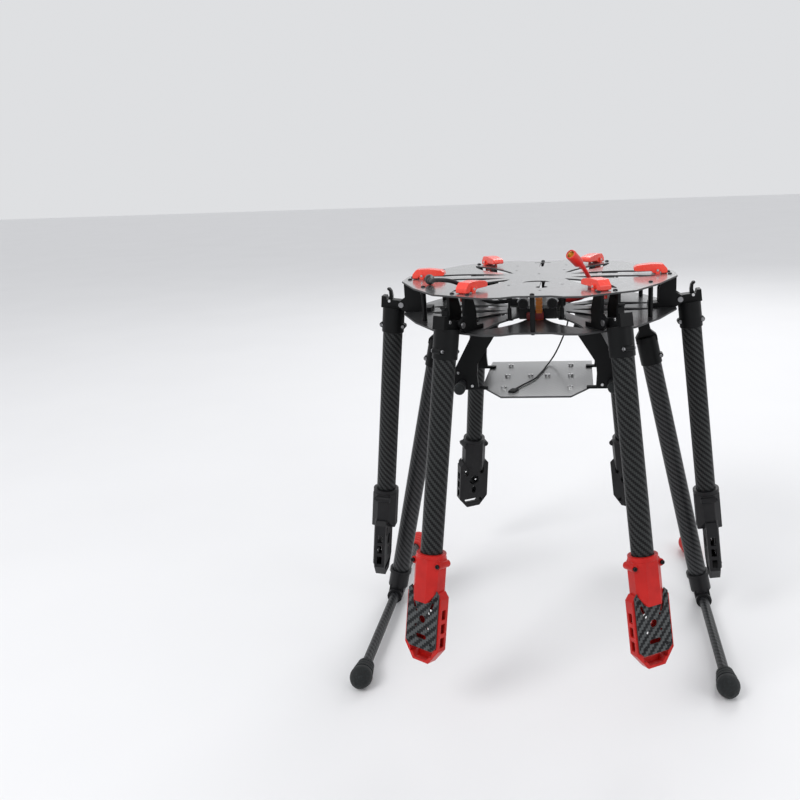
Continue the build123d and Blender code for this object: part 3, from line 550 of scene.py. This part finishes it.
POSITIVE_ROUTE = [
    (34.3, -24.0, 453.6), (45.5, -29.0, 455.0), (55.0, -43.5, 460.0), (61.5, -60.0, 468.5),
    (64.0, -73.0, 480.0), (61.0, -85.0, 491.0), (55.0, -97.0, 502.0),
]
POSITIVE_NOSE = (41.0, -117.0, 519.5)
NEGATIVE_ROUTE = [
    (-34.3, -24.0, 453.6), (-47.0, -29.0, 454.0), (-56.5, -46.0, 457.0), (-64.0, -66.0, 464.0),
    (-71.5, -84.5, 473.5), (-79.5, -98.5, 484.0), (-92.0, -106.0, 491.5), (-104.0, -106.5, 493.0),
    (-113.5, -99.0, 492.0), (-119.0, -88.0, 490.0), (-122.0, -77.0, 488.2),
]
NEGATIVE_NOSE = (-127.5, -54.0, 487.3)
SIGNAL_ROUTE = [
    (38.0, 60.0, 439.0), (37.4, 58.5, 424.0), (34.0, 55.5, 406.0), (26.5, 50.5, 387.5), (18.0, 42.0, 371.5),
    (11.0, 29.0, 363.8), (7.0, 12.0, 362.4), (4.5, -8.0, 362.3), (0.5, -28.0, 362.4), (-3.0, -48.0, 362.3),
    (-10.5, -66.0, 362.4), (-18.5, -82.0, 362.3), (-25.0, -99.0, 362.3),
]
LEAD_D, SIGNAL_D = 4.8, 2.0
PLUG_R, PLUG_BORE = 6.0, 4.2


def cord(name, route, diameter, look, node):
    """A smooth curve through a route's control points, which stands for the CAD tube."""
    curve = bpy.data.curves.new(name, "CURVE")
    curve.dimensions = "3D"
    curve.bevel_depth = diameter / 2 * MM
    curve.bevel_resolution = 6
    curve.resolution_u = 12
    curve.use_fill_caps = True
    spline = curve.splines.new("NURBS")
    spline.points.add(len(route) - 1)
    for point, place in zip(spline.points, route):
        point.co = (*(Vector(place) * MM), 1)
    spline.order_u = 3
    spline.use_endpoint_u = True
    curve.materials.append(LOOKS[look])
    piece = bpy.data.objects.new(name, curve)
    bpy.context.scene.collection.objects.link(piece)
    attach(piece, "frame")
    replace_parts(piece, node)
    return piece


def plug(name, start, nose, look, node):
    """A bullet connector in a sleeve that tapers to the wire; the gold socket shows at its nose."""
    along = Vector(nose) - Vector(start)
    length = along.length
    place = facing(start, along)
    wire = LEAD_D / 2
    bm = bmesh.new()
    skin = [
        (0, wire), (0, wire + 0.5), (1.2, wire + 0.8), (5, wire + 1.1), (8, wire + 1.7), (11, PLUG_R - 0.4),
        (13, PLUG_R - 0.25), (length - 2.2, PLUG_R), (length - 0.8, PLUG_R - 0.15), (length, PLUG_R - 0.8),
        (length, PLUG_BORE + 0.5), (length - 0.6, PLUG_BORE + 0.2), (length - 1.4, PLUG_BORE + 0.1),
    ]
    lathe(bm, skin, 48, place)
    bore = [
        (length - 1.6, PLUG_BORE + 0.1), (length - 0.9, PLUG_BORE + 0.05), (length - 0.7, PLUG_BORE - 0.3),
        (length - 1.0, PLUG_BORE - 0.6), (length - 8.5, PLUG_BORE - 0.7), (length - 9.2, PLUG_BORE - 1.6),
        (length - 9.2, 0),
    ]
    lathe(bm, bore, 48, place, 1)
    piece = add_piece(name, bm, "frame", (look, "gold"))
    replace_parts(piece, node)
    return piece


red_plug = plug("positive_connector", POSITIVE_ROUTE[-1], POSITIVE_NOSE, "red_sleeve", "positive_plug")
red_lead = cord("positive_power_lead", POSITIVE_ROUTE, LEAD_D, "red_wire", "positive_lead")
black_plug = plug("negative_connector", NEGATIVE_ROUTE[-1], NEGATIVE_NOSE, "black_sleeve", "negative_plug")
black_lead = cord("negative_power_lead", NEGATIVE_ROUTE, LEAD_D, "black_wire", "negative_lead")

signal_plug = polished("signal_plug", "black", 0.3)
signal = cord("signal_lead", SIGNAL_ROUTE, SIGNAL_D, "black_wire", "signal_cable")


# ---- plates, brackets and screws -----------------------------------------------------------------------

# one carbon in two copies: the top plate's is painted lit, the bottom plate's painted shade
for node, look in (("top_plate", "sheet"), ("bottom_plate", "lower_sheet")):
    lay_weave(polished(node, (look, "edge"), 0.25, pick=facing_along(UP)))


def above_top(face):
    """Picks the second look for what stands on the top plate: the latches' lugs and pins."""
    return 1 if face.calc_center_median().z > TOP_Z * MM else 0


polished("arm_brackets", ("satin", "latch_red"), 0.3, pick=above_top)
polished("hinge_pins", ("dull_steel", "steel"), 0.4, pick=above_top)
polished("standoffs", "satin", 0.3)


def plate_screws():
    """Button-head screws of the brackets and standoffs, on both plates."""
    bm = bmesh.new()
    half = BRACKET_SCREWS[1]
    for name in ARMS:
        out = out_of(f"arm_fold_{name}")
        side = UP.cross(out)
        between = out * cos(pi / 6) + side * sin(pi / 6)
        spots = [out * BRACKET_SCREWS[0] + side * half, out * BRACKET_SCREWS[0] - side * half]
        spots.append(between * STANDOFF_R)
        for spot in spots:
            button_screw(bm, facing(spot + UP * TOP_Z, UP))
        for spot in [*spots, out * FOOT_SCREW_R]:
            button_screw(bm, facing(spot + UP * BOTTOM_Z, -UP))
    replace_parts(add_piece("plate_screw_heads", bm, "frame", "black_steel"), "plate_screws")


plate_screws()


# ---- what the bay holds --------------------------------------------------------------------------------

def board_look(face):
    """The board, its black terminals, and the dark red and amber blocks in front of it."""
    middle = face.calc_center_median() / MM
    if middle.y > BOARD_FRONT:
        return 0 if middle.z < BOARD_Z + BOARD_T + 0.1 else 1
    return 2 if middle.z > DECK_Z + TERMINAL_H else 3


def connector_trim():
    """Rounded dark red boots over the two front terminals, and the ribs of the amber connector."""
    bm = bmesh.new()
    for x, width in BOOTS:
        prism(bm, box_outline(width, BOOT_DEPTH, x, TERMINAL_Y), DECK_Z, DECK_Z + BOOT_H, edge=1.3)
    add_piece("terminal_boots", bm, "frame", "dark_red")
    bm = bmesh.new()
    for height in AMBER_RIBS:
        low = DECK_Z + height
        prism(bm, box_outline(*AMBER_RIB, AMBER_X, TERMINAL_Y), low, low + AMBER_RIB_T, edge=0.5)
    add_piece("amber_ribs", bm, "frame", "amber")


polished("power_board", ("board", "black", "amber", "dark_red"), 0.6, pick=board_look)
connector_trim()


def capacitor(name, x):
    """A capacitor lying along Y, with its crimp groove, vent cross and a pale arc strip over its upper side.
    """
    place = facing((x, CAPACITOR_Y, CAPACITOR_Z), (0, -1, 0))
    r, length = CAPACITOR_R, CAPACITOR_LEN
    bm = bmesh.new()
    lathe(bm, [(-length, 0), (-length, r - 0.5), (0.5 - length, r), (-3.2, r), (-2.6, r - 0.45), (-2.0, r),
               (-0.5, r), (0, r - 0.5), (0, r - 1.1), (-0.3, r - 1.3)], 48, place)
    lathe(bm, [(-0.3, r - 1.3), (-0.5, 0)], 48, place, 1)
    for turn in (0, pi / 2):
        prism(bm, box_outline(0.5, 2 * r - 4), -0.45, -0.3, place @ Matrix.Rotation(turn + 0.4, 4, "Z"), 0, 1)
    add_piece(name, bm, "frame", ("capacitor", "black"))
    # a pale strip arched over the capacitor's upper side, from 18 to 162 degrees
    steps = [radians(18 + 144 * k / 24) for k in range(25)]
    arch = [((r + 1.5) * cos(t), (r + 1.5) * sin(t)) for t in steps]
    arch += [((r + 0.1) * cos(t), (r + 0.1) * sin(t)) for t in reversed(steps)]
    bm = bmesh.new()
    prism(bm, arch, -4.5, -0.4, place, 0.2)
    add_piece(f"{name}_arc_strip", bm, "frame", "pale")


def bay_parts():
    """Capacitors on their carrier, and the damped posts beside them."""
    for name, x in CAPACITORS.items():
        capacitor(f"capacitor_{name}", x)
    bm = bmesh.new()
    middle = sum(CAPACITORS.values()) / 2
    outline = box_outline(CARRIER_W, CAPACITOR_LEN - 3, middle, CAPACITOR_Y + CAPACITOR_LEN / 2)
    prism(bm, outline, DECK_Z, CAPACITOR_Z - CAPACITOR_R + 0.4, edge=0.6)
    add_piece("capacitor_carrier", bm, "frame", "black")
    for name, side in SIDES.items():
        bm = bmesh.new()
        post = facing((side * POST_X, POST_Y, 0), UP)
        lathe(bm, POST_PROFILE, 32, post)
        add_piece(f"post_{name}", bm, "frame", "black")


bay_parts()


# ---- arms and latches ----------------------------------------------------------------------------------

def clamp_screw(name, body, place, head_side):
    """A cap screw across a clamp, along y of place in millimetres, with a nut on its other side."""
    bm = bmesh.new()
    y = Vector((0, head_side, 0))
    cap_screw(bm, place @ facing(y * CLAMP_EAR, y), 2.0, 2.2, 1.0)
    nut(bm, place @ facing(-y * CLAMP_EAR, -y), 4.4, 1.8)
    add_piece(name, bm, body, "dull_steel")


def arm_screws(name, place):
    """The screws and the second pin of one arm; place is its matrix with millimetres inside."""
    body = f"arm_{name}"
    for label, height in (("inner", AXIS_H - HOLDER_R + CLAMP_IN), ("outer", AXIS_H + HOLDER_R - CLAMP_IN)):
        spot = place @ Matrix.Translation((EAR_X, 0, height))
        clamp_screw(f"holder_screw_{label}_{name}", body, spot, 1)
    bm = bmesh.new()
    pin = place @ Matrix.Translation((STOP_PIN[0], 0, STOP_PIN[1]))
    for way in (-1, 1):
        side = Vector((0, way, 0))
        lathe(bm, PIN_HEAD, 32, pin @ facing(side * TONGUE_W / 2, side))
    add_piece(f"stop_pin_{name}", bm, body, "steel")
    bm = bmesh.new()
    for way in (-1, 1):
        cap_screw(bm, place @ facing((BOSS_X, way * BOSS_Y, BOSS_TOP), UP), 2.5, 2.2, 1.1)
        for x, y in PLATE_SCREWS:
            button_screw(bm, place @ facing((x, way * y, TRAY_TOP + MOTOR_PLATE), UP), 1.9, 1.1, 0.8)
    add_piece(f"motor_mount_screws_{name}", bm, body, "black_steel")


for name in ARMS:
    joint = joints[f"arm_fold_{name}"]
    place = swing_matrix(f"arm_fold_{name}", ARM_OUT - joint["range_deg"][1])
    height = place @ Matrix.Translation((0, 0, AXIS_H * MM))
    polished(f"arm_holder_{name}", "satin", 0.5)
    tube = polished(f"arm_tube_{name}", "tube", 0.2)
    wrap_weave(tube, [height], TUBE_R)
    polished(f"motor_mount_{name}", "red" if name in RED_MOUNTS else "black", 0.5)
    away = place.to_3x3() @ UP
    plate = polished(f"motor_plate_{name}", ("motor_sheet", "edge"), 0.25, pick=facing_along(away))
    lay_weave(plate, place @ Matrix.Rotation(pi / 2, 4, "Z"))
    polished(f"latch_{name}", "latch_red", 0.9)
    arm_screws(name, in_millimetres(place))

# ---- legs and skids ------------------------------------------------------------------------------------

for name, side in SIDES.items():
    place = swing_matrix(f"leg_retract_{name}", LEG_OUT)
    polished(f"leg_holder_{name}", "satin", 0.5)
    tube = polished(f"leg_tube_{name}", "leg_tube", 0.2)
    wrap_weave(tube, [place], TUBE_R)
    polished(f"leg_tee_{name}", "black", 0.5)
    low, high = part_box(f"skid_pipe_{name}")
    pipe = polished(f"skid_pipe_{name}", "leg_tube", 0.2)
    wrap_weave(pipe, [along_y((low.x + high.x) / 2, (low.z + high.z) / 2)], SKID_R)
    polished(f"skid_cap_front_{name}", "rubber", 0.2, crease=50)
    polished(f"skid_cap_rear_{name}", "red_rubber", 0.2, crease=50)
    spot = in_millimetres(place) @ Matrix.Translation((LEG_EAR_X, 0, HOLDER_R - CLAMP_IN))
    clamp_screw(f"leg_screw_{name}", f"leg_{name}", spot, -1)
polished("retract_units", "satin", 0.5)

# ---- hanging tray --------------------------------------------------------------------------------------

polished("rail_hangers", "satin", 0.6)


def hanger_screws():
    """The two screws of each rail clamp, in front of the front ribs and behind the rear ones."""
    bm = bmesh.new()
    for side in SIDES.values():
        for y, way in zip(HANGER_FACES, (-1, 1)):
            for x, z in HANGER_SCREWS:
                cap_screw(bm, facing((side * x, y, z), (0, way, 0)), 1.8, 1.6, 0.8)
    add_piece("hanger_screws", bm, "frame", "steel")


hanger_screws()
rails = polished("rails", "leg_tube", 0.2)
wrap_weave(rails, [along_y(side * RAIL_X * MM, RAIL_Z * MM) for side in SIDES.values()], RAIL_R)
polished("rail_caps", "rubber", 0.3)
# the battery plate's pale base is painted sheen and painted light against the shade of the plates above
lay_weave(polished("battery_plate", ("painted_sheen_sheet", "edge"), 0.25, pick=facing_along(UP)))


def battery_inserts():
    """Bright threaded inserts in the battery plate's holes, standing a little proud of it."""
    bm = bmesh.new()
    spots = [(side * BATTERY_COLS, y) for side in (-1, 1) for y in BATTERY_ROWS]
    spots += [(side * BATTERY_INNER, BATTERY_ROWS[1]) for side in (-1, 1)]
    for x, y in spots:
        lathe(bm, INSERT_PROFILE, 32, facing((x, y, TRAY_Z), UP))
    add_piece("battery_inserts", bm, "frame", "plated")


battery_inserts()

# ---- stage ---------------------------------------------------------------------------------------------

def pale_floor():
    look = Look("floor", Roughness=0.6)
    look.set("Base Color", look.blend(look.noise(3.0, 2.0), (0.8, 0.8, 0.81), (0.84, 0.84, 0.85)))
    bm = bmesh.new()
    bmesh.ops.create_grid(bm, x_segments=1, y_segments=1, size=12.0)
    mesh = bpy.data.meshes.new("floor")
    bm.to_mesh(mesh)
    bm.free()
    mesh.materials.append(look.material)
    floor = bpy.data.objects.new("floor", mesh)
    bpy.context.scene.collection.objects.link(floor)


def soft_light(name, place, size, power):
    light = bpy.data.lights.new(name, "AREA")
    light.shape = "DISK"
    light.size = size
    light.energy = power
    lamp = bpy.data.objects.new(name, light)
    bpy.context.scene.collection.objects.link(lamp)
    lamp.location = place
    lamp.rotation_euler = (lamp.location - LIT).to_track_quat("Z", "Y").to_euler()


LIT = Vector((0, 0, 0.3))    # the point that the lights look at
pale_floor()
soft_light("key", (-1.6, -1.8, 2.4), size=1.4, power=36)
soft_light("fill", (2.2, -1.4, 1.4), size=1.6, power=12)
soft_light("back", (0.6, 2.4, 2.2), size=1.8, power=26)

world = bpy.data.worlds.new("studio")
world.use_nodes = True
world.node_tree.nodes["Background"].inputs[0].default_value = (0.92, 0.93, 0.95, 1)
world.node_tree.nodes["Background"].inputs[1].default_value = 0.8
bpy.context.scene.world = world
bpy.context.scene.view_settings.view_transform = "Standard"
